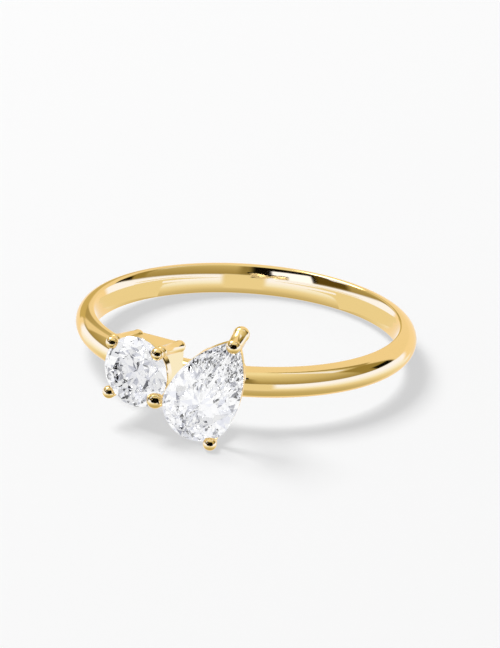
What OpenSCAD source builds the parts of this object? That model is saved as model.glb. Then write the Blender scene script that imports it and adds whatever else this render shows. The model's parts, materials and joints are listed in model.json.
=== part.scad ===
// Toi et moi ring: a round and a pear brilliant side by side on a plain half-round band.
// Millimetres, +Z up. The ring lies on its side as it rests on a table, with its stones
// towards -Y. It touches the table at the pear's lower claw and at the back of the band.

/* [Finger and band] */
// Inside diameter, which is the finger size
bore_d = 16.9; // [15:0.1:21]
// Width of the band along the finger
band_w = 1.76; // [1.5:0.02:2.4]
// Thickness of the band
band_t = 1.17; // [1.15:0.01:1.7]
// Radius of the domed inside across the band, which softens the fit on the finger
comfort_r = 1.95; // [1.6:0.05:2.6]
// Width of the straight middle of the inside
land_w = 0.4; // [0.3:0.05:0.6]

/* [Round stone] */
// Diameter of the round brilliant
round_d = 4; // [3.6:0.05:4.2]
// Distance from the finger's axis to its girdle
round_seat = 11.9; // [11.7:0.05:12.4]
// Angle round the finger from the middle of the head
round_turn = -9.34; // [-10.5:0.1:-9]
// Height of its centre above the middle of the band
round_up = 0.665; // [0.4:0.05:0.9]

/* [Pear stone] */
// Width of the pear brilliant
pear_w = 4.06; // [3.7:0.02:4.2]
// Length of the pear brilliant
pear_l = 6.48; // [6:0.02:7]
// Distance from the finger's axis to its girdle
pear_seat = 12.15; // [12:0.05:12.6]
// Angle round the finger from the middle of the head
pear_turn = 9.34; // [9:0.1:10.5]
// Height of its round end's centre above the middle of the band
pear_up = -0.515; // [-0.8:0.05:-0.3]
// Lean of its point away from the finger's axis
pear_lean = -25.2; // [-35:1:-15]

/* [Cut] */
// Thickness of the girdles
girdle_t = 0.08; // [0.05:0.01:0.15]
// Height of the crowns above the girdle
crown_h = 0.62; // [0.5:0.01:0.7]
// Depth of the pavilions below the girdle
pavilion_h = 1.72; // [1.5:0.01:1.9]
// Size of the tables as a share of the girdle
table_share = 0.57; // [0.5:0.01:0.65]
// Height of the star facets' feet as a share of the crown
star_share = 0.45; // [0.35:0.01:0.6]
// Length of the lower girdle facets as a share of the pavilion
lower_share = 0.76; // [0.6:0.01:0.85]

/* [Settings] */
// Clearance between the stones and the metal
seat_gap = 0.05; // [0.03:0.01:0.08]
// Radius of the prongs
prong_r = 0.31; // [0.28:0.01:0.4]
// Radius of the beads that end the claws
bead_r = 0.36; // [0.33:0.01:0.42]
// Radius of the pear's lower bead, which the ring rests on
rest_bead_r = 0.38; // [0.35:0.01:0.42]
// Radius of the prong that both stones share
shared_prong_r = 0.42; // [0.36:0.01:0.44]
// Radius of the bead of the shared prong
shared_r = 0.47; // [0.46:0.01:0.5]
// Radius of the pear's upper prong at its bend
tip_r = 0.43; // [0.3:0.01:0.46]
// Radius of the pear's upper prong under its bead
tip_head_r = 0.38; // [0.36:0.01:0.42]
// How far the prongs' axes stand outside the girdles
prong_reach = 0.12; // [0.08:0.01:0.2]
// How far the beads stand in front of the girdles
bead_front = 0.28; // [0.2:0.01:0.35]
// How far behind the girdle the pear's upper prong bends
elbow_back = 0.5; // [0.35:0.05:0.7]
// How far beyond the pear's point the upper prong bends
elbow_out = 0.28; // [0.2:0.01:0.5]
// How far inside the pear's point the upper bead stands
tip_in = 0.2; // [0.1:0.01:0.3]
// Depth of the gallery rails under the girdles
rail_h = 0.48; // [0.35:0.01:0.6]
// Wall of the gallery rails and of the round stone's basket
rail_t = 0.38; // [0.3:0.01:0.45]
// Distance of the gallery rails behind the girdles
rail_back = 0.14; // [0.1:0.01:0.2]
// Width across the flats of the round stone's square basket
basket_w = 3; // [2.9:0.02:3.2]
// How far the round stone's basket sinks into the band
basket_sink = 0.22; // [0.1:0.01:0.4]
// Drop of the basket towards the middle of the band
foot_drop = 0.15; // [0:0.01:0.2]
// How far inside the girdle the round stone's prongs have their feet
foot_in = 0.09; // [0.05:0.01:0.2]
// Radius of the pear setting's foot
pear_foot_r = 1.6; // [1.4:0.01:1.7]
// How far the pear setting's foot lies from the round end's centre towards the point
pear_foot_shift = 0.9; // [0.6:0.05:1.2]
// Height of the pear setting's foot along the prongs
foot_h = 0.65; // [0.5:0.01:0.8]
// Distance of the pear setting's foot from the finger
foot_gap = 0.3; // [0.2:0.01:0.4]

/* [Hidden] */
$fn = 96;
gold = "#E8C27A";
diamond = "#EEF1F6";

bore_r = bore_d / 2;
half_w = band_w / 2;
dome_r = bore_r + band_t - half_w;
finger_room = 0.08;
edge = 0.06;
joint = 0.03;
foot_rise = 0.25;
shoulder_back = 0.06;
bead_reach = 0.06;
tip_lift = 0.12;
rail_in = 0.02;
pear_rail_in = 0.04;
pear_rail_less = 0.15;
pear_rail_h = rail_h - pear_rail_less;
basket_back = round_seat - bore_r - band_t + basket_sink;
basket_lap = 0.1;
basket_corner = 1.98;

// Outlines of the stones
pear_r = pear_w / 2;
pear_tip = pear_l - pear_r;
pear_side_r = (pear_r * pear_r + pear_tip * pear_tip) / (2 * pear_r);
pear_side_c = pear_side_r - pear_r;
tip_normal = acos(pear_side_c / pear_side_r);

// Claws, as angles in the seats' own planes
round_corner = 45;
shared_turn = -39;
pear_tip_turn = 90 + pear_lean;
pear_claw_turn = pear_tip_turn - 132;

function polar(r, a) = [r * cos(a), r * sin(a)];
function lift(p, z) = [p[0], p[1], z];

// A point in a seat's frame, seen from the ring's own frame
function from_seat(p, seat, turn, up) =
    [(seat + p[2]) * sin(turn) + p[0] * cos(turn),
     p[0] * sin(turn) - (seat + p[2]) * cos(turn),
     up + p[1]];

// Resting place: a plane that touches the lower claw and the back of the band gives the tilt
claw_rest = from_seat(lift(polar(pear_r + prong_reach, pear_claw_turn), bead_front),
                      pear_seat, pear_turn, pear_up);
rest_turn = atan2(claw_rest[0], -claw_rest[1]);
rest_out = norm([claw_rest[0], claw_rest[1]]);
rest_run = rest_out + dome_r;
rest_tilt = asin((rest_bead_r - half_w) / norm([rest_run, claw_rest[2]]))
            - atan2(claw_rest[2], rest_run);
rest_lift = rest_bead_r - rest_out * sin(rest_tilt) - claw_rest[2] * cos(rest_tilt);
head_out = pear_seat + bead_front + bead_r;
rest_shift = (head_out - dome_r - half_w) / 2;

module lying() {
    translate([0, rest_shift, rest_lift])
        rotate([0, 0, rest_turn])
            rotate([-rest_tilt, 0, 0])
                rotate([0, 0, -rest_turn])
                    children();
}

module on_seat(seat, turn, up) {
    rotate([0, 0, turn])
        translate([0, -seat, up])
            rotate([90, 0, 0])
                children();
}

// A brilliant from eight pairs of girdle points: mains at the even ones, halves between.
// normals are the outline's directions at the mains, and grow enlarges it for its seat.
function corner(a, na, b, nb) =
    let (da = a * na, db = b * nb, w = na[0] * nb[1] - na[1] * nb[0])
    [(da * nb[1] - db * na[1]) / w, (na[0] * db - nb[0] * da) / w];

function brilliant_points(mains, normals, halves, top, bottom, waist) =
    let (
        corners = [for (k = [0:7]) corner(mains[k], normals[k],
                                          mains[(k + 1) % 8], normals[(k + 1) % 8])],
        star = 1 - (1 - table_share) * star_share,
        lower = 1 - lower_share
    )
    concat(
        [for (p = mains) lift(table_share * p, waist + top)],
        [for (p = corners) lift(star * p, waist + star_share * top)],
        [for (p = mains) lift(p, waist)],
        [for (p = halves) lift(p, waist)],
        [for (p = mains) lift(p, -waist)],
        [for (p = halves) lift(p, -waist)],
        [for (p = corners) lift(lower * p, -waist - lower_share * bottom)],
        [[0, 0, -waist - bottom]]
    );

// Rings of eight points each: table, star feet, girdle mains and halves above and below,
// lower facets' feet, and last the culet
function brilliant_faces() =
    concat(
        [[for (k = [7:-1:0]) k]],
        [for (k = [0:7]) [(k + 1) % 8, 8 + k, k]],
        [for (k = [0:7]) [8 + k, 16 + k, 8 + (k + 7) % 8, k]],
        [for (k = [0:7]) [24 + k, 16 + k, 8 + k]],
        [for (k = [0:7]) [16 + (k + 1) % 8, 24 + k, 8 + k]],
        [for (k = [0:7]) [24 + k, 40 + k, 32 + k, 16 + k]],
        [for (k = [0:7]) [16 + (k + 1) % 8, 32 + (k + 1) % 8, 40 + k, 24 + k]],
        [for (k = [0:7]) [32 + k, 40 + k, 48 + k]],
        [for (k = [0:7]) [40 + k, 32 + (k + 1) % 8, 48 + k]],
        [for (k = [0:7]) [48 + (k + 7) % 8, 32 + k, 48 + k, 56]]
    );

module brilliant(mains, normals, halves, grow) {
    polyhedron(
        points = brilliant_points(mains, normals, halves,
                                  crown_h + grow, pavilion_h + grow, girdle_t / 2 + grow),
        faces = brilliant_faces());
}

module round_brilliant(grow = 0) {
    r = round_d / 2 + grow;
    brilliant([for (k = [0:7]) polar(r, 45 * k)],
              [for (k = [0:7]) polar(1, 45 * k)],
              [for (k = [0:7]) polar(r, 45 * k + 22.5)], grow);
}

// The pear's outline by the direction that it faces: its round end below, then side arcs
function pear_at(a, grow) =
    sin(a) < 0 ? polar(pear_r + grow, a)
               : [-sign(cos(a)) * pear_side_c, 0] + polar(pear_side_r + grow, a);

function pear_point(grow) =
    [0, sqrt(pow(pear_side_r + grow, 2) - pow(pear_side_c, 2))];

module pear_brilliant(grow = 0) {
    // Directions of the mains and halves down the right side, from the point to the round end
    main_side = [0.55 * tip_normal, -10, -52];
    half_side = [0.78 * tip_normal, 0.22 * tip_normal, -31, -72];
    facing = concat([for (a = main_side) 180 - a], [270], [for (k = [2:-1:0]) main_side[k]]);
    between = concat([for (a = half_side) 180 - a], [for (k = [3:-1:0]) half_side[k]]);
    rotate([0, 0, pear_lean])
        brilliant(concat([pear_point(grow)], [for (a = facing) pear_at(a, grow)]),
                  concat([[0, 1]], [for (a = facing) polar(1, a)]),
                  [for (a = between) pear_at(a, grow)], grow);
}

// The band: a half-round section, domed inside too, with a straight middle in the bore
module band() {
    inside_c = bore_r + sqrt(comfort_r * comfort_r - land_w * land_w / 4);
    rotate_extrude()
        intersection() {
            union() {
                translate([dome_r - band_t, -half_w])
                    square([band_t, band_w]);
                translate([dome_r, 0])
                    intersection() {
                        circle(half_w);
                        translate([0, -band_w])
                            square([band_w, 2 * band_w]);
                    }
            }
            translate([inside_c, 0])
                circle(comfort_r);
            translate([bore_r, -band_w])
                square([2 * band_w, 2 * band_w]);
        }
}

// A straight prong between two points, with its own radius at each end
module rod(a, b, ra, rb) {
    v = b - a;
    run = norm([v[0], v[1]]);
    translate(a)
        rotate([0, atan2(run, v[2]), atan2(v[1], v[0])])
            cylinder(h = norm(v), r1 = ra, r2 = rb);
}

// A claw: a prong from its foot to a shoulder beside the girdle, and a bead over the stone.
// The prong is r thick up to its shoulder and head_r thick under its bead.
module claw(foot, shoulder, head, r, head_r, bead) {
    rod(foot, shoulder, r, r);
    translate(shoulder)
        sphere(r + joint);
    rod(shoulder, head, r, head_r);
    translate(head)
        sphere(bead);
}

module ring_rail(r_out, wall, low, high) {
    rotate_extrude()
        polygon([[r_out - wall, low], [r_out - edge, low], [r_out, low + edge],
                 [r_out, high - edge], [r_out - edge, high], [r_out - wall, high]]);
}

// The round stone's basket: four flat walls between its prongs
module basket() {
    translate([0, 0, -basket_back])
        linear_extrude(basket_back - rail_back - rail_h + basket_lap)
            difference() {
                intersection() {
                    square(basket_w, center = true);
                    circle(basket_corner);
                }
                square(basket_w - 2 * rail_t, center = true);
            }
}

module pear_outline(grow) {
    intersection() {
        translate([-pear_side_c, 0])
            circle(pear_side_r + grow, $fn = 240);
        translate([pear_side_c, 0])
            circle(pear_side_r + grow, $fn = 240);
        translate([-pear_w, 0])
            square([2 * pear_w, pear_l]);
    }
    intersection() {
        circle(pear_r + grow);
        translate([-pear_w, -pear_l])
            square([2 * pear_w, pear_l]);
    }
}

module round_setting() {
    girdle_r = round_d / 2;
    foot_r = girdle_r - foot_in;
    foot_z = -basket_back + foot_rise;
    difference() {
        union() {
            for (turn = [round_corner, 180 - round_corner, 180 + round_corner]) {
                foot = lift(polar(foot_r, turn) - [0, foot_drop], foot_z);
                claw(foot, lift(polar(girdle_r + prong_reach, turn), -shoulder_back),
                     lift(polar(girdle_r + bead_reach, turn), bead_front),
                     prong_r, prong_r, bead_r);
                translate(foot)
                    sphere(prong_r + joint);
            }
            claw(lift(polar(foot_r - prong_r, shared_turn) - [0, foot_drop], foot_z),
                 lift(polar(girdle_r - joint, shared_turn), -shoulder_back),
                 lift(polar(girdle_r - 2 * joint, shared_turn), bead_front),
                 shared_prong_r, shared_prong_r, shared_r);
            ring_rail(girdle_r - rail_in, rail_t, -rail_back - rail_h, -rail_back);
            translate([0, -foot_drop, 0])
                basket();
        }
        round_brilliant(seat_gap);
    }
}

module pear_setting() {
    foot_z = bore_r + foot_gap - pear_seat;
    centre = polar(pear_foot_shift, pear_tip_turn);
    foot_reach = pear_foot_r - rail_t / 2;
    difference() {
        union() {
            claw(lift(centre + polar(foot_reach, pear_tip_turn), foot_z + foot_h / 2),
                 lift(polar(pear_tip + elbow_out, pear_tip_turn), -elbow_back),
                 lift(polar(pear_tip - tip_in, pear_tip_turn), bead_front + tip_lift),
                 tip_r, tip_head_r, tip_head_r + joint);
            claw(lift(centre + polar(foot_reach, pear_claw_turn), foot_z + foot_h / 2),
                 lift(polar(pear_r + bead_reach, pear_claw_turn), -shoulder_back),
                 lift(polar(pear_r + prong_reach, pear_claw_turn), bead_front),
                 prong_r, prong_r, rest_bead_r);
            rotate([0, 0, pear_lean])
                translate([0, 0, -rail_back - rail_h])
                    linear_extrude(pear_rail_h)
                        difference() {
                            pear_outline(-pear_rail_in);
                            pear_outline(-pear_rail_in - rail_t);
                        }
            translate(lift(centre, 0))
                ring_rail(pear_foot_r, rail_t, foot_z, foot_z + foot_h);
        }
        pear_brilliant(seat_gap);
    }
}

module band_and_settings() {
    color(gold)
        lying() {
            band();
            difference() {
                union() {
                    on_seat(round_seat, round_turn, round_up)
                        round_setting();
                    on_seat(pear_seat, pear_turn, pear_up)
                        pear_setting();
                }
                cylinder(h = 4 * pear_l, r = bore_r + finger_room, center = true);
                on_seat(round_seat, round_turn, round_up)
                    round_brilliant(seat_gap);
                on_seat(pear_seat, pear_turn, pear_up)
                    pear_brilliant(seat_gap);
            }
        }
}

module round_stone() {
    color(diamond)
        lying()
            on_seat(round_seat, round_turn, round_up)
                round_brilliant();
}

module pear_stone() {
    color(diamond)
        lying()
            on_seat(pear_seat, pear_turn, pear_up)
                pear_brilliant();
}

band_and_settings();
round_stone();
pear_stone();
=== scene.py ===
import json
import math

import bmesh
import bpy
from mathutils import Matrix, Vector


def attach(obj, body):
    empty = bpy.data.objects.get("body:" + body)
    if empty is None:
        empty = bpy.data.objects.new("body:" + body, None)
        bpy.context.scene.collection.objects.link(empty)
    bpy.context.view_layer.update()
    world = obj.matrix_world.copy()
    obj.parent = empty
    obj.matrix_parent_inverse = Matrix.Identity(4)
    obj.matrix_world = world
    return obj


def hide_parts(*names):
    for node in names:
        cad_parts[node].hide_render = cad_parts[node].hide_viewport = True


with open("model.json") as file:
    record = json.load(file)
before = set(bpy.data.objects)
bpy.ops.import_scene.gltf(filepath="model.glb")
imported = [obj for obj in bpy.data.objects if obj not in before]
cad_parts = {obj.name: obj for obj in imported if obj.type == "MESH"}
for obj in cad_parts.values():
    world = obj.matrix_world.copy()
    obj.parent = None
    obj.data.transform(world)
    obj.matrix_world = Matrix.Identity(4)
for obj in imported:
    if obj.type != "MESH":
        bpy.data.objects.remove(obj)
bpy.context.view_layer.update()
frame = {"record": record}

# View of the ring
# The camera is some 40 cm off behind a long lens, as in a jeweller's product view, a little
# above the table and to the right of the stones. Angles are about the table, in degrees.
view_turn = 20.593
view_height = 24.473
view_roll = 3.256
view_distance = 0.3981
view_aim = Vector((0.000745, 0.000155, 0.002742))
long_side_mm = 36.0
pixels_per_metre = 17830.0
long_side_pixels = 648.0

toward_camera = Vector((
    math.sin(math.radians(view_turn)) * math.cos(math.radians(view_height)),
    -math.cos(math.radians(view_turn)) * math.cos(math.radians(view_height)),
    math.sin(math.radians(view_height)),
))
camera_data = bpy.data.cameras.new("camera")
camera_data.sensor_width = long_side_mm
camera_data.lens = pixels_per_metre * view_distance / long_side_pixels * long_side_mm
camera = bpy.data.objects.new("camera", camera_data)
bpy.context.scene.collection.objects.link(camera)
level = (-toward_camera).to_track_quat("-Z", "Y").to_matrix().to_4x4()
camera.matrix_world = (
    Matrix.Translation(view_aim + toward_camera * view_distance)
    @ level
    @ Matrix.Rotation(math.radians(view_roll), 4, "Z")
)
bpy.context.scene.camera = camera

# Gold of the band and the settings
# 14 carat yellow gold throughout, soldered and then buffed to a mirror on a felt wheel. Buffing
# leaves it colour-true and glossy, with the faintest drag of the wheel in its highlights.
MM = 0.001


def linear(hex_colour):
    """The linear colour, with full alpha, of an sRGB hex value."""
    channels = [int(hex_colour[i:i + 2], 16) / 255 for i in (1, 3, 5)]
    return [c / 12.92 if c <= 0.04045 else ((c + 0.055) / 1.055) ** 2.4 for c in channels] + [1.0]


def add_node(tree, kind, settings=(), **sockets):
    """Adds a node. Settings are its attributes, sockets are values or other nodes' outputs."""
    node = tree.nodes.new(kind)
    for name, value in dict(settings).items():
        setattr(node, name, value)
    for name, value in sockets.items():
        numbered = name[0] == "n" and name[1:].isdigit()
        socket = node.inputs[int(name[1:]) if numbered else name.replace("_", " ")]
        if isinstance(value, bpy.types.NodeSocket):
            tree.links.new(value, socket)
        else:
            socket.default_value = value
    return node


gold = bpy.data.materials.new("polished_14_carat_yellow_gold")
gold.use_nodes = True
gold_tree = gold.node_tree
gold_shader = gold_tree.nodes["Principled BSDF"]
gold_shader.inputs["Base Color"].default_value = linear("#F4D08C")
gold_shader.inputs["Metallic"].default_value = 1.0
gold_shader.inputs["Roughness"].default_value = 0.07
# Gold keeps most of its own colour where it is seen at a low angle
gold_shader.inputs["Specular Tint"].default_value = linear("#FFF3DC")
# The buffing wheel's drag: waves of about a millimetre and finer, far too shallow to feel
waves_per_metre = 900.0
gold_place = add_node(gold_tree, "ShaderNodeTexCoord")
buffing = add_node(gold_tree, "ShaderNodeTexNoise", {"noise_dimensions": "3D"},
                   Vector=gold_place.outputs["Object"], Scale=waves_per_metre, Detail=2.0)
buffed = add_node(gold_tree, "ShaderNodeBump", Strength=0.03, Distance=0.00003,
                  Height=buffing.outputs["Fac"])
gold_tree.links.new(buffed.outputs["Normal"], gold_shader.inputs["Normal"])

# Band
# A plain half-round shank of finger size US 6.5, drawn through a half-round die, bent round and
# soldered shut. Its inside is domed too, for comfort, and its two edges are just broken.
bore_r = 8.45
band_w = 1.76
band_t = 1.17
comfort_r = 1.95
edge_r = 0.16
band_steps = 480
dome_steps = 48
comfort_steps = 32
edge_steps = 6
# Points that lie closer than this are one
weld = 1e-6

half_w = band_w / 2
dome_r = bore_r + band_t - half_w
finger = frame["record"]["mounts"][0]
ring_axis = Vector(finger["axis"])
lying = (
    Matrix.Translation(Vector(finger["pos_m"]))
    @ Vector((0, 0, 1)).rotation_difference(ring_axis).to_matrix().to_4x4()
    @ Matrix.Scale(MM, 4)
)


def arc(centre, r, start, end, steps):
    """Points of an arc, given as (radius in the ring, height), between two angles."""
    turns = [math.radians(start + (end - start) * i / steps) for i in range(steps + 1)]
    return [(centre[0] + r * math.cos(a), centre[1] + r * math.sin(a)) for a in turns]


# The broken edge touches both the flat side and the domed inside
inside_c = bore_r + comfort_r
edge_z = half_w - edge_r
edge_c = inside_c - math.sqrt((comfort_r - edge_r) ** 2 - edge_z ** 2)
edge_turn = math.degrees(math.atan2(edge_z, inside_c - edge_c))
section = (
    arc((dome_r, 0), half_w, -90, 90, dome_steps)
    + arc((edge_c, edge_z), edge_r, 90, 180 - edge_turn, edge_steps)
    + arc((inside_c, 0), comfort_r, 180 - edge_turn, 180 + edge_turn, comfort_steps)[1:-1]
    + arc((edge_c, -edge_z), edge_r, 180 + edge_turn, 270, edge_steps)
)

# The tree that draws a closed section round the finger: a sweep along a circle
shank_tree = bpy.data.node_groups.new("drawn_ring", "GeometryNodeTree")
shank_tree.interface.new_socket("Section", in_out="INPUT", socket_type="NodeSocketGeometry")
radius_socket = shank_tree.interface.new_socket("Radius", in_out="INPUT",
                                                socket_type="NodeSocketFloat")
steps_socket = shank_tree.interface.new_socket("Steps", in_out="INPUT", socket_type="NodeSocketInt")
cast_socket = shank_tree.interface.new_socket("Metal", in_out="INPUT",
                                              socket_type="NodeSocketMaterial")
shank_tree.interface.new_socket("Ring", in_out="OUTPUT", socket_type="NodeSocketGeometry")
asked = add_node(shank_tree, "NodeGroupInput")
outline = add_node(shank_tree, "GeometryNodeMeshToCurve", Mesh=asked.outputs["Section"])
circle = add_node(shank_tree, "GeometryNodeCurvePrimitiveCircle", Resolution=asked.outputs["Steps"],
                  Radius=asked.outputs["Radius"])
swept = add_node(shank_tree, "GeometryNodeCurveToMesh", Curve=circle.outputs["Curve"],
                 Profile_Curve=outline.outputs["Curve"])
solid = add_node(shank_tree, "GeometryNodeRealizeInstances", Geometry=swept.outputs["Mesh"])
cast = add_node(shank_tree, "GeometryNodeSetMaterial", Geometry=solid.outputs["Geometry"],
                Material=asked.outputs["Metal"])
add_node(shank_tree, "NodeGroupOutput", Ring=cast.outputs["Geometry"])


def baked(thing):
    """The plain mesh that an object's modifiers make of it."""
    return bpy.data.meshes.new_from_object(
        thing.evaluated_get(bpy.context.evaluated_depsgraph_get()))


def draw_ring(points, steps):
    """A closed ring whose section is points, given as (radius, height)."""
    middle = sum(r for r, z in points) / len(points)
    drawn = bpy.data.meshes.new("section")
    drawn.from_pydata([(r - middle, -z, 0) for r, z in points],
                      [(i, (i + 1) % len(points)) for i in range(len(points))], [])
    blank = bpy.data.objects.new("blank", drawn)
    bpy.context.scene.collection.objects.link(blank)
    nodes = blank.modifiers.new("sweep", "NODES")
    nodes.node_group = shank_tree
    nodes[radius_socket.identifier] = middle
    nodes[steps_socket.identifier] = steps
    nodes[cast_socket.identifier] = gold
    mesh = baked(blank)
    bpy.data.objects.remove(blank)
    bm = bmesh.new()
    bm.from_mesh(mesh)
    bmesh.ops.remove_doubles(bm, verts=bm.verts, dist=weld)
    bmesh.ops.recalc_face_normals(bm, faces=bm.faces)
    bm.to_mesh(mesh)
    bm.free()
    return mesh


shank = draw_ring(section, band_steps)

# Round stone and pear stone
# Two brilliants, cut and polished from natural diamond: a table, stars, kites and halves
# above the girdle, halves and mains below it. The pear has the same facets about its point.
round_d = 4.0
round_seat, round_turn, round_up = 11.9, -9.34, 0.665
pear_w, pear_l = 4.06, 6.48
pear_seat, pear_turn, pear_up, pear_lean = 12.15, 9.34, -0.515, -25.2
girdle_t, crown_h, pavilion_h = 0.08, 0.62, 1.72
table_share, star_share, lower_share = 0.57, 0.45, 0.76
mains_count = 8
main_step = 360 / mains_count
# Where the pear's mains and halves face, on the right of its point: shares of the point's own
# angle, then degrees below the widest line
pear_main_shares, pear_main_turns = (0.55,), (-10, -52)
pear_half_shares, pear_half_turns = (0.78, 0.22), (-31, -72)
# Fineness of the outlines, then how close counts as touching when cutting and when welding,
# and the small turn that keeps a point of the outline off the joint of two arcs
round_steps, pear_side_steps, pear_end_steps = 144, 40, 72
cut_reach, facet_weld, off_joint = 1e-5, 1e-4, 1e-6

pear_r = pear_w / 2
pear_tip = pear_l - pear_r
pear_side_r = (pear_r ** 2 + pear_tip ** 2) / (2 * pear_r)
pear_side_c = pear_side_r - pear_r
tip_normal = math.degrees(math.acos(pear_side_c / pear_side_r))


def polar(r, degrees):
    """A flat point at a radius and a direction."""
    return Vector((r * math.cos(math.radians(degrees)), r * math.sin(math.radians(degrees))))


def on_seat(seat, turn, up, lean=0.0):
    """Where a seat lies in the ring: its own z points away from the finger."""
    return (Matrix.Rotation(math.radians(turn), 4, "Z") @ Matrix.Translation((0, -seat, up))
            @ Matrix.Rotation(math.radians(90), 4, "X")
            @ Matrix.Rotation(math.radians(lean), 4, "Z"))


def pear_at(degrees, grow=0.0):
    """The pear's outline at the place that faces a direction."""
    if math.sin(math.radians(degrees)) < 0:
        return polar(pear_r + grow, degrees)
    side = math.copysign(pear_side_c, math.cos(math.radians(degrees)))
    return Vector((-side, 0)) + polar(pear_side_r + grow, degrees)


def pear_outline(grow, side_steps):
    """The pear's whole outline, drawn out by grow and starting at its point."""
    point = Vector((0, math.sqrt((pear_side_r + grow) ** 2 - pear_side_c ** 2)))
    tip = math.degrees(math.acos(pear_side_c / (pear_side_r + grow)))
    side = [tip * (1 - i / side_steps) for i in range(1, side_steps + 1)]
    end = [-180 * i / pear_end_steps for i in range(1, pear_end_steps)]
    return ([point] + [pear_at(180 - a - off_joint, grow) for a in side]
            + [pear_at(a, grow) for a in end[::-1]]
            + [pear_at(a + off_joint, grow) for a in side[::-1]])


def closed_mesh(bm, name):
    """A plain mesh of a closed form, with its faces turned outwards."""
    bmesh.ops.recalc_face_normals(bm, faces=bm.faces)
    mesh = bpy.data.meshes.new(name)
    bm.to_mesh(mesh)
    bm.free()
    return mesh


def cut_stone(mains, normals, halves, outline, grow=0.0):
    """A brilliant ground out of a prism, one flat facet at a time, as on a cutter's wheel."""
    waist, top, bottom = girdle_t / 2 + grow, crown_h + grow, pavilion_h + grow
    # Where the girdle's lines through neighbouring mains meet
    corners = []
    for k in range(mains_count):
        after = (k + 1) % mains_count
        a, na, b, nb = mains[k], normals[k], mains[after], normals[after]
        da, db, w = a.dot(na), b.dot(nb), na.cross(nb)
        corners.append(Vector(((da * nb.y - db * na.y) / w, (na.x * db - nb.x * da) / w)))
    star = 1 - (1 - table_share) * star_share
    table = [(table_share * p).to_3d() + Vector((0, 0, waist + top)) for p in mains]
    feet = [(star * p).to_3d() + Vector((0, 0, waist + star_share * top)) for p in corners]
    main_top = [p.to_3d() + Vector((0, 0, waist)) for p in mains]
    half_top = [p.to_3d() + Vector((0, 0, waist)) for p in halves]
    main_low = [p.to_3d() - Vector((0, 0, waist)) for p in mains]
    half_low = [p.to_3d() - Vector((0, 0, waist)) for p in halves]
    sunk = Vector((0, 0, waist + lower_share * bottom))
    deep = [((1 - lower_share) * p).to_3d() - sunk for p in corners]
    culet = Vector((0, 0, -waist - bottom))
    facets = []
    for k in range(mains_count):
        after = (k + 1) % mains_count
        facets += [
            (table[k], feet[k], table[after]), (table[k], feet[k - 1], main_top[k]),
            (feet[k], main_top[k], half_top[k]), (feet[k], half_top[k], main_top[after]),
            (deep[k], half_low[k], main_low[k]), (deep[k], main_low[after], half_low[k]),
            (culet, deep[k], main_low[k]),
        ]
    bm = bmesh.new()
    low = [bm.verts.new((p.x, p.y, culet.z)) for p in outline]
    high = [bm.verts.new((p.x, p.y, waist + top)) for p in outline]
    bm.faces.new(low[::-1])
    bm.faces.new(high)
    for i in range(len(outline)):
        j = (i + 1) % len(outline)
        bm.faces.new((low[i], low[j], high[j], high[i]))
    for a, b, c in facets:
        n = (b - a).cross(c - a).normalized()
        if n.dot(a) < 0:
            n = -n
        cut = bmesh.ops.bisect_plane(bm, geom=bm.verts[:] + bm.edges[:] + bm.faces[:],
                                     dist=cut_reach, plane_co=a, plane_no=n, clear_outer=True)
        rim = [g for g in cut["geom_cut"] if isinstance(g, bmesh.types.BMEdge)]
        if len(rim) > 2:
            bmesh.ops.edgeloop_fill(bm, edges=rim)
    bmesh.ops.remove_doubles(bm, verts=bm.verts, dist=facet_weld)
    return closed_mesh(bm, "stone")


def cut_round(grow=0.0):
    r = round_d / 2 + grow
    facing = [main_step * k for k in range(mains_count)]
    return cut_stone([polar(r, a) for a in facing], [polar(1, a) for a in facing],
                     [polar(r, a + main_step / 2) for a in facing],
                     [polar(r, 360 * i / round_steps) for i in range(round_steps)], grow)


def cut_pear(grow=0.0):
    main_side = [share * tip_normal for share in pear_main_shares] + list(pear_main_turns)
    half_side = [share * tip_normal for share in pear_half_shares] + list(pear_half_turns)
    facing = [180 - a for a in main_side] + [270] + main_side[::-1]
    between = [180 - a for a in half_side] + half_side[::-1]
    outline = pear_outline(grow, pear_side_steps)
    return cut_stone([outline[0]] + [pear_at(a, grow) for a in facing],
                     [Vector((0, 1))] + [polar(1, a) for a in facing],
                     [pear_at(a, grow) for a in between], outline, grow)


# Natural diamond, ground flat and polished: clear and colourless, with an index so high that
# light turns back inside it, which the eye sees as white and dark facets
diamond = bpy.data.materials.new("brilliant_cut_diamond")
diamond.use_nodes = True
diamond_shader = diamond.node_tree.nodes["Principled BSDF"]
diamond_shader.inputs["Base Color"].default_value = linear("#FFFFFF")
diamond_shader.inputs["Transmission Weight"].default_value = 1.0
diamond_shader.inputs["Roughness"].default_value = 0.0
diamond_shader.inputs["IOR"].default_value = 2.417

# The pear leans on its seat, and its claws and foot are laid out on the seat itself
round_place = on_seat(round_seat, round_turn, round_up)
pear_flat = on_seat(pear_seat, pear_turn, pear_up)
pear_place = on_seat(pear_seat, pear_turn, pear_up, pear_lean)
seats = {"round_stone": (cut_round, round_place), "pear_stone": (cut_pear, pear_place)}
for node, (cut, place) in seats.items():
    mesh = cut()
    mesh.transform(lying @ place)
    mesh.materials.append(diamond)
    stone = bpy.data.objects.new(node + "_cut", mesh)
    bpy.context.scene.collection.objects.link(stone)
    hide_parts(node)
    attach(stone, "root")
    # Clear stones pass the lamp's light on to the paper
    stone.visible_shadow = False
    stone.visible_diffuse = False

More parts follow.
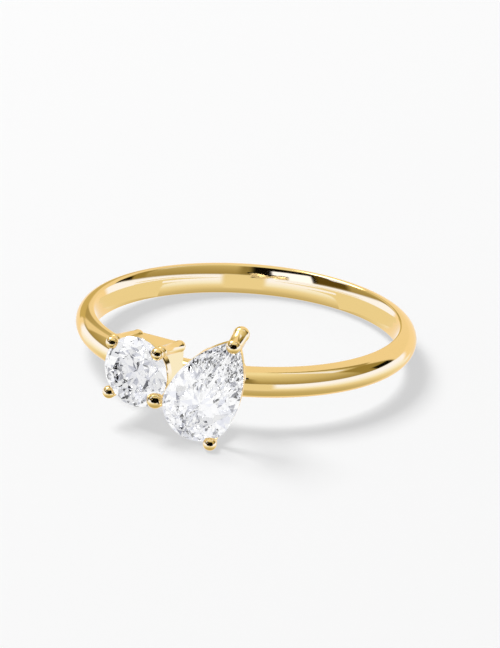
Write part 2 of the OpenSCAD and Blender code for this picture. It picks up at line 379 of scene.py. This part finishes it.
# Claws and gallery rails
# Round wire prongs, each bent over the girdle and finished with a burred bead. A rail under
# each girdle ties them together, a square basket carries the round stone's and a round foot the
# pear's, and all is soldered to the band. The two stones share the middle claw.
seat_gap = 0.05
prong_r, bead_r, rest_bead_r = 0.31, 0.36, 0.38
shared_prong_r, shared_r = 0.42, 0.47
tip_r, tip_head_r = 0.43, 0.38
prong_reach, bead_reach, bead_front, shoulder_back = 0.12, 0.06, 0.28, 0.06
elbow_back, elbow_out, tip_in, tip_lift = 0.5, 0.28, 0.2, 0.12
rail_h, rail_t, rail_back, rail_in = 0.48, 0.38, 0.14, 0.02
basket_w, basket_back, basket_lap, basket_corner = 3.0, 2.5, 0.1, 1.98
foot_drop, foot_in, foot_rise = 0.15, 0.09, 0.25
pear_foot_r, pear_foot_shift, foot_h, foot_gap = 1.6, 0.9, 0.65, 0.3
pear_rail_in, pear_rail_h = 0.04, 0.33
joint, edge, finger_room = 0.03, 0.06, 0.08
shared_turn = -39.0
round_claw_turns = (45, 135, 225)
claws_apart = 132
pear_tip_turn = 90 + pear_lean
pear_claw_turn = pear_tip_turn - claws_apart
girdle_r = round_d / 2
# Fineness of the wires and rails, and the least turn between two faces that shows as an edge
around = 96
rail_side_steps, corner_steps = 48, 12
crisp_turn = 28


def at(p, z):
    """A flat point raised to height z."""
    return Vector((p.x, p.y, z))


# Each claw is its foot, shoulder and head, then the wire's radius at each, and the bead's
round_foot_z = foot_rise - basket_back
drop = Vector((0, foot_drop))
round_claws = []
for turn in round_claw_turns:
    round_claws.append((at(polar(girdle_r - foot_in, turn) - drop, round_foot_z),
                        at(polar(girdle_r + prong_reach, turn), -shoulder_back),
                        at(polar(girdle_r + bead_reach, turn), bead_front), prong_r, prong_r, bead_r))
round_claws.append((at(polar(girdle_r - foot_in - prong_r, shared_turn) - drop, round_foot_z),
                    at(polar(girdle_r - joint, shared_turn), -shoulder_back),
                    at(polar(girdle_r - 2 * joint, shared_turn), bead_front),
                    shared_prong_r, shared_prong_r, shared_r))
pear_foot_z = bore_r + foot_gap - pear_seat
pear_centre = polar(pear_foot_shift, pear_tip_turn)
foot_reach = pear_foot_r - rail_t / 2
pear_claws = [
    (at(pear_centre + polar(foot_reach, pear_tip_turn), pear_foot_z + foot_h / 2),
     at(polar(pear_tip + elbow_out, pear_tip_turn), -elbow_back),
     at(polar(pear_tip - tip_in, pear_tip_turn), bead_front + tip_lift),
     tip_r, tip_head_r, tip_head_r + joint),
    (at(pear_centre + polar(foot_reach, pear_claw_turn), pear_foot_z + foot_h / 2),
     at(polar(pear_r + bead_reach, pear_claw_turn), -shoulder_back),
     at(polar(pear_r + prong_reach, pear_claw_turn), bead_front), prong_r, prong_r, rest_bead_r),
]

# The tree that turns a bent wire into a claw: a tube along it and a ball on each point
claw_tree = bpy.data.node_groups.new("claw_wire", "GeometryNodeTree")
claw_tree.interface.new_socket("Wire", in_out="INPUT", socket_type="NodeSocketGeometry")
around_socket = claw_tree.interface.new_socket("Sides", in_out="INPUT", socket_type="NodeSocketInt")
metal_socket = claw_tree.interface.new_socket("Metal", in_out="INPUT",
                                              socket_type="NodeSocketMaterial")
claw_tree.interface.new_socket("Claw", in_out="OUTPUT", socket_type="NodeSocketGeometry")
given = add_node(claw_tree, "NodeGroupInput")
wire_size = add_node(claw_tree, "GeometryNodeInputNamedAttribute", {"data_type": "FLOAT"},
                     Name="wire")
ball_size = add_node(claw_tree, "GeometryNodeInputNamedAttribute", {"data_type": "FLOAT"},
                     Name="ball")
path = add_node(claw_tree, "GeometryNodeMeshToCurve", Mesh=given.outputs["Wire"])
round_wire = add_node(claw_tree, "GeometryNodeCurvePrimitiveCircle",
                      Resolution=given.outputs["Sides"], Radius=1.0)
tube = add_node(claw_tree, "GeometryNodeCurveToMesh", Curve=path.outputs["Curve"],
                Scale=wire_size.outputs["Attribute"],
                Profile_Curve=round_wire.outputs["Curve"], Fill_Caps=True)
ball = add_node(claw_tree, "GeometryNodeMeshUVSphere", Segments=given.outputs["Sides"],
                Rings=around // 2, Radius=1.0)
balls = add_node(claw_tree, "GeometryNodeInstanceOnPoints", Points=given.outputs["Wire"],
                 Instance=ball.outputs["Mesh"], Scale=ball_size.outputs["Attribute"])
together = add_node(claw_tree, "GeometryNodeJoinGeometry")
claw_tree.links.new(tube.outputs["Mesh"], together.inputs[0])
claw_tree.links.new(balls.outputs["Instances"], together.inputs[0])
real = add_node(claw_tree, "GeometryNodeRealizeInstances", Geometry=together.outputs["Geometry"])
dressed = add_node(claw_tree, "GeometryNodeSetMaterial", Geometry=real.outputs["Geometry"],
                   Material=given.outputs["Metal"])
add_node(claw_tree, "NodeGroupOutput", Claw=dressed.outputs["Geometry"])


def bend_claws(claws, place):
    """Every closed shell of these claws, each as its own mesh in the ring's frame."""
    shells = []
    for foot, shoulder, head, wire, head_wire, ball_r in claws:
        for a, b in ((foot, shoulder), (shoulder, head)):
            wire_mesh = bpy.data.meshes.new("wire")
            wire_mesh.from_pydata([a, b], [(0, 1)], [])
            wire_mesh.attributes.new("wire", "FLOAT", "POINT").data.foreach_set(
                "value", [wire, head_wire if b is head else wire])
            sizes = [wire + joint, ball_r if b is head else wire + joint]
            wire_mesh.attributes.new("ball", "FLOAT", "POINT").data.foreach_set("value", sizes)
            bent = bpy.data.objects.new("bent", wire_mesh)
            bpy.context.scene.collection.objects.link(bent)
            nodes = bent.modifiers.new("claw", "NODES")
            nodes.node_group = claw_tree
            nodes[around_socket.identifier] = around
            nodes[metal_socket.identifier] = gold
            shape = baked(bent)
            shape.transform(place)
            bpy.data.objects.remove(bent)
            shells += loose_shells(shape)
    return shells


def loose_shells(mesh):
    """A mesh's separate closed shells, taken in the order of its faces, the same in each run."""
    bm = bmesh.new()
    bm.from_mesh(mesh)
    bmesh.ops.remove_doubles(bm, verts=bm.verts, dist=weld)
    left, shells = dict.fromkeys(bm.faces), []
    while left:
        stack, shell = [left.popitem()[0]], []
        while stack:
            face = stack.pop()
            shell.append(face)
            for e in face.edges:
                for other in e.link_faces:
                    if other in left:
                        del left[other]
                        stack.append(other)
        piece = bmesh.new()
        known = {}
        for face in shell:
            verts = []
            for v in face.verts:
                if v not in known:
                    known[v] = piece.verts.new(v.co)
                verts.append(known[v])
            piece.faces.new(verts)
        shells.append(closed_mesh(piece, "shell"))
    bm.free()
    return shells


def rail_section(r_out, low, high):
    """A rail's section, with its two outer edges broken."""
    return [(r_out - rail_t, low), (r_out - edge, low), (r_out, low + edge),
            (r_out, high - edge), (r_out - edge, high), (r_out - rail_t, high)]


def pear_rail(grow, wall, low, high):
    """The pear's upper rail: its outline drawn out by grow, with an even wall inside it."""
    bm = bmesh.new()
    loops = [[bm.verts.new(at(p, z)) for p in pear_outline(g, rail_side_steps)]
             for g, z in ((grow, low), (grow, high), (grow - wall, high), (grow - wall, low))]
    n = len(loops[0])
    for a, b in zip(loops, loops[1:] + loops[:1]):
        for j in range(n):
            bm.faces.new((a[j], a[(j + 1) % n], b[(j + 1) % n], b[j]))
    return closed_mesh(bm, "pear_rail")


def square_basket():
    """Four flat walls between the round stone's prongs, with their corners rounded off."""
    half = basket_w / 2
    bend = math.degrees(math.acos(half / basket_corner))
    corner = [polar(basket_corner, bend + (90 - 2 * bend) * i / corner_steps)
              for i in range(corner_steps + 1)]
    quarters = [Matrix.Rotation(math.radians(90 * q), 2) for q in range(4)]
    outer = [turn @ p for turn in quarters for p in corner]
    inner = [turn @ Vector((half - rail_t, half - rail_t)) for turn in quarters]
    low, high = -basket_back, basket_lap - rail_back - rail_h
    bm = bmesh.new()
    rings = [[bm.verts.new(at(p, z)) for p in wall] for wall in (outer, inner) for z in (low, high)]
    for lower, upper in (rings[:2], rings[2:]):
        for i in range(len(lower)):
            j = (i + 1) % len(lower)
            bm.faces.new((lower[i], lower[j], upper[j], upper[i]))
    for outside, inside in ((rings[0], rings[2]), (rings[1], rings[3])):
        for q in range(4):
            start = len(corner) * q
            for i in range(start, start + corner_steps):
                bm.faces.new((outside[i], outside[i + 1], inside[q]))
            bm.faces.new((outside[start + corner_steps],
                          outside[(start + len(corner)) % len(outside)],
                          inside[(q + 1) % 4], inside[q]))
    return closed_mesh(bm, "basket")


def placed(mesh, place):
    """The mesh, moved to its place."""
    mesh.transform(place)
    return mesh


def combine(first, others, operation):
    """One closed mesh from first and others, by exact union or difference."""
    work = bpy.data.objects.new("work", first)
    bpy.context.scene.collection.objects.link(work)
    for other in others:
        tool = bpy.data.objects.new("tool", other)
        bpy.context.scene.collection.objects.link(tool)
        modifier = work.modifiers.new("solder", "BOOLEAN")
        modifier.operation = operation
        modifier.solver = "MANIFOLD"
        modifier.object = tool
        result = baked(work)
        work.modifiers.clear()
        work.data = result
        bpy.data.objects.remove(tool)
    bpy.data.objects.remove(work)
    return result


rail_low = -rail_back - rail_h
round_rail = draw_ring(rail_section(girdle_r - rail_in, rail_low, -rail_back), 2 * around)
pear_foot = draw_ring(rail_section(pear_foot_r, pear_foot_z, pear_foot_z + foot_h), 2 * around)
upper_rail = pear_rail(-pear_rail_in, rail_t, rail_low, rail_low + pear_rail_h)
heads = bend_claws(round_claws, round_place) + bend_claws(pear_claws, pear_flat)
heads += [
    placed(round_rail, round_place),
    placed(square_basket(), round_place @ Matrix.Translation((0, -foot_drop, 0))),
    placed(pear_foot, pear_flat @ Matrix.Translation(at(pear_centre, 0))),
    placed(upper_rail, pear_place),
]
settings = combine(heads[0], heads[1:], "UNION")
# The finger's hole and the stones' seats are cut free
finger_hole = bmesh.new()
bmesh.ops.create_cone(finger_hole, cap_ends=True, segments=band_steps,
                      radius1=bore_r + finger_room, radius2=bore_r + finger_room,
                      depth=4 * pear_l)
finger_mesh = bpy.data.meshes.new("finger")
finger_hole.to_mesh(finger_mesh)
finger_hole.free()
cutters = [finger_mesh, placed(cut_round(seat_gap), round_place),
           placed(cut_pear(seat_gap), pear_place)]
settings = combine(settings, cutters, "DIFFERENCE")
metal = combine(shank, [settings], "UNION")
metal.transform(lying)
metal.polygons.foreach_set("use_smooth", [True] * len(metal.polygons))
metal.set_sharp_from_angle(angle=math.radians(crisp_turn))
metal.materials.clear()
metal.materials.append(gold)
ring = bpy.data.objects.new("gold_ring", metal)
bpy.context.scene.collection.objects.link(ring)
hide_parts("band_and_settings")
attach(ring, "root")
# No metal shows in other metal, and none tints the paper or the stones
ring.visible_diffuse = False
ring.visible_transmission = False
ring.visible_glossy = False

# Table top
# A plain sheet of white paper, larger than the view, that the ring lies on. It is matt, so it
# shows the ring's soft shadow and no gloss.
paper = bpy.data.materials.new("matt_white_paper")
paper.use_nodes = True
paper_shader = paper.node_tree.nodes["Principled BSDF"]
paper_shader.inputs["Base Color"].default_value = linear("#F4F4F4")
paper_shader.inputs["Roughness"].default_value = 0.9
paper_shader.inputs["Specular IOR Level"].default_value = 0.1
paper_half = 3.0
square = ((-1, -1), (1, -1), (1, 1), (-1, 1))
floor_mesh = bpy.data.meshes.new("paper")
floor_mesh.from_pydata([(paper_half * i, paper_half * j, 0) for i, j in square],
                       [], [(0, 1, 2, 3)])
floor_mesh.materials.append(paper)
floor = bpy.data.objects.new("paper", floor_mesh)
bpy.context.scene.collection.objects.link(floor)
floor.visible_glossy = False
floor.visible_transmission = False

# Glowing white sheets, a painted reflection of lit paper, lie inside the ring in a left and a right
# half, on the table and again just above it, and show only in mirror images. Each half is bounded
# by the bore, the middle of the ring and the last direction that it serves.
across = Vector((math.cos(math.radians(view_turn)), math.sin(math.radians(view_turn)), 0))
deep = Vector((-math.sin(math.radians(view_turn)), math.cos(math.radians(view_turn)), 0))
ring_middle = Vector((finger["pos_m"][0], finger["pos_m"][1], 0))
# It glows by itself in the tone of lit paper, as a painted reflection, so nothing shades it
painted_white_glow = bpy.data.materials.new("glowing_painted_white")
painted_white_glow.use_nodes = True
glow_shader = painted_white_glow.node_tree.nodes["Principled BSDF"]
glow_shader.inputs["Base Color"].default_value = linear("#000000")
glow_shader.inputs["Specular IOR Level"].default_value = 0.0
glow_shader.inputs["Emission Color"].default_value = linear("#F9FFFD")
glow_shader.inputs["Emission Strength"].default_value = 0.97


def mirrored_sheet(name, corners, material):
    """A sheet that shows only in mirror images. Corners are (right, away, up) in millimetres."""
    spread = [across * c + deep * d + Vector((0, 0, z)) for c, d, z in corners]
    mesh = bpy.data.meshes.new(name)
    mesh.from_pydata([ring_middle + p * MM for p in spread], [], [tuple(range(len(corners)))])
    mesh.materials.append(material)
    sheet = bpy.data.objects.new(name, mesh)
    bpy.context.scene.collection.objects.link(sheet)
    sheet.visible_camera = False
    sheet.visible_diffuse = False
    sheet.visible_shadow = False
    sheet.visible_transmission = False


inner_sheets = (
    ((-8.1, 0.0), (-6.6, 4.9), (-4.99, 6.82), (-1.2, 5.5), (-1.2, 0.0)),
    ((8.1, 0.0), (6.6, 4.9), (5.1, 6.74), (1.24, 5.7), (1.24, 0.0)),
)
sheet_levels = (("low", 0.02), ("high", 0.95))
for side, outline_points in zip(("left", "right"), inner_sheets):
    for level_name, height in sheet_levels:
        mirrored_sheet("glow_sheet_" + side + "_" + level_name,
                       [(c, d, height) for c, d in outline_points], painted_white_glow)

# A small black card, seen only in mirror images, stands close in front of each bead and paints a
# dark reflection on its face, and a glowing white spot on the card, up on its left, paints a glint
# there
dark_reflection_card = bpy.data.materials.new("painted_dark_reflection_card")
dark_reflection_card.use_nodes = True
black_shader = dark_reflection_card.node_tree.nodes["Principled BSDF"]
black_shader.inputs["Base Color"].default_value = linear("#0A0A0A")
black_shader.inputs["Roughness"].default_value = 1.0
black_shader.inputs["Specular IOR Level"].default_value = 0.0
card_near, card_half, card_low, card_high = 1.2, 1.3, -0.2, 1.4
spot_left, spot_near, spot_up, spot_half = 0.85, 1.1, 0.65, 0.14
card_sides = ((-1, card_low), (1, card_low), (1, card_high), (-1, card_high))
claw_sets = (("round", round_place, round_claws), ("pear", pear_flat, pear_claws))
for stone_name, head_place, claws in claw_sets:
    for count, claw in enumerate(claws):
        bead = (lying @ (head_place @ claw[2]) - ring_middle) / MM
        c, d, z = bead.dot(across), bead.dot(deep), bead.z
        name = stone_name + "_" + str(count)
        mirrored_sheet("painted_dark_reflection_" + name,
                       [(c + i * card_half, d - card_near, z + rise) for i, rise in card_sides],
                       dark_reflection_card)
        mirrored_sheet("painted_glint_" + name,
                       [(c - spot_left + i * spot_half, d - spot_near, z + spot_up + j * spot_half)
                        for i, j in square],
                       painted_white_glow)

# Studio light
# A white tent round the table with its dark side towards the camera, and cards of white, brown
# and black paper that the metal mirrors. One soft lamp, high on the left and behind, throws the
# shadow.
bpy.context.scene.view_settings.view_transform = "Standard"
bpy.context.scene.cycles.caustics_reflective = False
# Light turns many times inside a brilliant before it leaves
light_turns = 16
bpy.context.scene.cycles.max_bounces = light_turns
bpy.context.scene.cycles.glossy_bounces = light_turns
bpy.context.scene.cycles.transmission_bounces = light_turns
world = bpy.data.worlds.new("tent")
bpy.context.scene.world = world
world.use_nodes = True
tent = world.node_tree
# The tent is drawn by its directions: the angle round the table from the camera's side,
# positive to the camera's right, and the height above the table
looking = add_node(tent, "ShaderNodeTexCoord")
turned = add_node(tent, "ShaderNodeVectorRotate", {"rotation_type": "Z_AXIS"},
                  Vector=looking.outputs["Generated"], Angle=math.radians(-view_turn))
parts = add_node(tent, "ShaderNodeSeparateXYZ", Vector=turned.outputs["Vector"])
from_back = add_node(tent, "ShaderNodeMath", {"operation": "MULTIPLY"},
                     n0=parts.outputs["Y"], n1=-1.0)
round_angle = add_node(tent, "ShaderNodeMath", {"operation": "ARCTAN2"},
                       n0=parts.outputs["X"], n1=from_back.outputs["Value"])
height_angle = add_node(tent, "ShaderNodeMath", {"operation": "ARCSINE"}, n0=parts.outputs["Z"])
height_share = add_node(tent, "ShaderNodeMapRange", Value=height_angle.outputs["Value"],
                        From_Min=-math.pi / 2, From_Max=math.pi / 2)
# The tent's wall as height in degrees, colour and strength: the shaded table, its bright far
# edge, then cloth that is dim and warm low down and white overhead
ramp_top = 4.0
tent_wall = (
    (-80, "#FFFDD3", 0.57), (-60, "#FFFEE1", 0.62), (-50, "#FEFFEF", 0.69), (-40, "#FAFFF9", 0.90),
    (-32, "#EAF3FF", 1.16), (-24, "#C0D3FF", 1.97), (-16, "#B0C3FF", 2.5), (-9, "#A3B8FF", 3.0),
    (3, "#A3B8FF", 3.0), (6, "#FFF6B8", 0.40), (20, "#FFFAD0", 0.50), (34, "#FFFFE1", 0.64),
    (48, "#FDFFEB", 0.74), (62, "#FAFFF6", 0.90), (76, "#EEF9FF", 1.15),
)
wall = add_node(tent, "ShaderNodeValToRGB", n0=height_share.outputs["Result"])
wall_marks = wall.color_ramp.elements
wall_marks.remove(wall_marks[1])
for place, (height, colour, level) in enumerate(tent_wall):
    share = (height + 90) / 180
    mark = wall_marks[0] if place == 0 else wall_marks.new(share)
    mark.position = share
    mark.color = [c * level / ramp_top for c in linear(colour)[:3]] + [1.0]
lit = add_node(tent, "ShaderNodeMix", {"data_type": "RGBA", "blend_type": "MULTIPLY"},
               n0=1.0, n6=wall.outputs["Color"], n7=(ramp_top, ramp_top, ramp_top, 1.0)).outputs[2]


def hang_card(below, left, right, low, high, soft, colour, strength):
    """A card between two angles round the table and two heights, with a soft edge."""
    share = None
    edges = ((round_angle, left - soft, left, 0), (round_angle, right, right + soft, 1),
             (height_angle, low - soft, low, 0), (height_angle, high, high + soft, 1))
    for angle, start, end, falling in edges:
        ramp = add_node(tent, "ShaderNodeMapRange", {"interpolation_type": "SMOOTHSTEP"},
                        Value=angle.outputs["Value"], From_Min=math.radians(start),
                        From_Max=math.radians(end), To_Min=float(falling), To_Max=float(1 - falling))
        if share is None:
            share = ramp.outputs["Result"]
        else:
            share = add_node(tent, "ShaderNodeMath", {"operation": "MULTIPLY"},
                             n0=share, n1=ramp.outputs["Result"]).outputs["Value"]
    level = [c * strength for c in linear(colour)[:3]] + [1.0]
    return add_node(tent, "ShaderNodeMix", {"data_type": "RGBA"},
                    n0=share, n6=below, n7=level).outputs[2]


# Cards: left and right edge, lowest and highest point, softness, then colour and strength
cards = (
    (121, 200, 5, 95, 4, "#FFFFFB", 0.97),
    (-200, -172, 5, 95, 4, "#FFFFFB", 0.97),
    (-150, -138, 12, 60, 6, "#FFFFFB", 0.92),
    (88, 114, 8, 40, 5, "#FFF3A2", 0.34),
    (101, 116, 7, 17, 4, "#050402", 1.0),
    (113, 126, 40, 78, 3, "#FFF6B8", 0.40),
    (86, 101, 48, 74, 3, "#B0C3FF", 2.3),
    (-6, 4, 9, 36, 8, "#FFF6B8", 0.30),
    (-78, -50, 10, 44, 8, "#5E5224", 1.0),
    (-50, -4, 10, 44, 6, "#0C0A05", 1.0),
    (-48, -18, 4, 24, 2, "#A3B8FF", 3.4),
    (-84, -70, 26, 60, 4, "#A3B8FF", 2.8),
    (-10, 18, -41, 3, 5, "#F9FFFD", 0.97),
    (136, 180, -16, 3, 8, "#FFFFFF", 1.02),
    (-180, -146, -16, 3, 8, "#FFFFFF", 1.02),
    (-176, -152, -4, 10, 3, "#D2CCA0", 1.0),
    (150, 180, -70, -20, 8, "#FFFFFF", 0.98),
    (-180, -150, -70, -20, 8, "#FFFFFF", 0.98),
)
for card in cards:
    lit = hang_card(lit, *card)

# What the cut stones gather: the whole bright room, with its furniture and lamps far off,
# which breaks up into small white, grey and dark facets
room = add_node(tent, "ShaderNodeTexNoise", {"noise_dimensions": "3D"},
                Vector=looking.outputs["Generated"], Scale=5.0, Detail=2.0)
room_tone = add_node(tent, "ShaderNodeValToRGB", n0=room.outputs["Fac"])
room_marks = room_tone.color_ramp.elements
room_marks.remove(room_marks[1])
room_tones = ((0.30, "#101014"), (0.37, "#A0A2AE"), (0.43, "#E8EAF4"), (0.48, "#FFFFFF"))
for place, (share, colour) in enumerate(room_tones):
    mark = room_marks[0] if place == 0 else room_marks.new(share)
    mark.position = share
    mark.color = linear(colour)

# The paper is lit by the tent's mean light, the metal mirrors the tent, the stones the room
kind = add_node(tent, "ShaderNodeLightPath")
mean_light = [0.712, 0.712, 0.712, 1.0]
mirrored = add_node(tent, "ShaderNodeMix", {"data_type": "RGBA"},
                    n0=kind.outputs["Is Glossy Ray"], n6=mean_light, n7=lit).outputs[2]
gathered = add_node(tent, "ShaderNodeMix", {"data_type": "RGBA"},
                    n0=kind.outputs["Is Singular Ray"],
                    n6=mirrored, n7=room_tone.outputs["Color"]).outputs[2]
tent.links.new(gathered, tent.nodes["Background"].inputs["Color"])
tent.nodes["Background"].inputs["Strength"].default_value = 1.0

key_turn, key_height, key_distance = -128.0, 55.0, 1.0
key_data = bpy.data.lights.new("soft_lamp", "AREA")
key_data.size = 0.45
key_data.energy = 4.4
key = bpy.data.objects.new("soft_lamp", key_data)
key_angle = math.radians(view_turn + key_turn)
key_rise = math.radians(key_height)
from_ring = Vector((math.sin(key_angle) * math.cos(key_rise),
                    -math.cos(key_angle) * math.cos(key_rise), math.sin(key_rise)))
key.matrix_world = (Matrix.Translation(from_ring * key_distance)
                    @ (-from_ring).to_track_quat("-Z", "Y").to_matrix().to_4x4())
bpy.context.scene.collection.objects.link(key)
